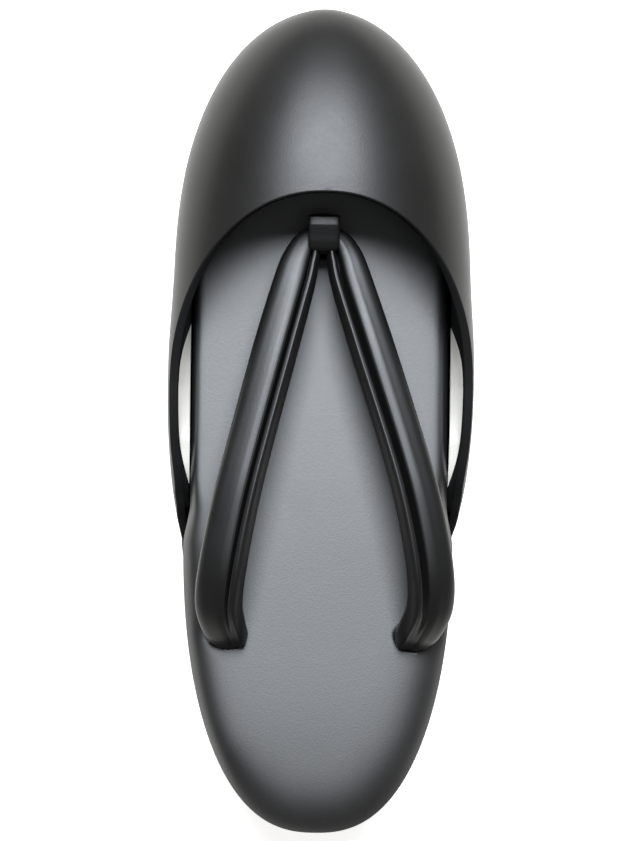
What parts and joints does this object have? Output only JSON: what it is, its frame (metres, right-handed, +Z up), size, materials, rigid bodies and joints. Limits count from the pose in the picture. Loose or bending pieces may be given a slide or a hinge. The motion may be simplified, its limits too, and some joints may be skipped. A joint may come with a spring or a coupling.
{
  "type": "zori with toe cover",
  "caption": "Black wet-weather zori: wedge platform sole, padded footbed, thonged strap and a domed toe cover with side wings.",
  "frame": {"origin": "on the floor under the middle of the length and width", "axes": "+Y towards the toe, +Z up, +X to the right seen from above with the toe away from the viewer"},
  "size_m": [0.0908, 0.245, 0.0678],
  "materials": {
    "rubber": "matt moulded rubber",
    "sole_wrap": "satin black leatherette",
    "footbed_skin": "satin black leatherette over foam",
    "cover_leather": "satin black moulded leatherette, white lining",
    "strap_leather": "semi-gloss black leatherette"
  },
  "bodies": {
    "root": {"outsole": "rubber", "sole": "sole_wrap", "footbed": "footbed_skin", "toe_cover": "cover_leather", "strap": "strap_leather", "toe_post": "strap_leather"}
  },
  "joints": []
}
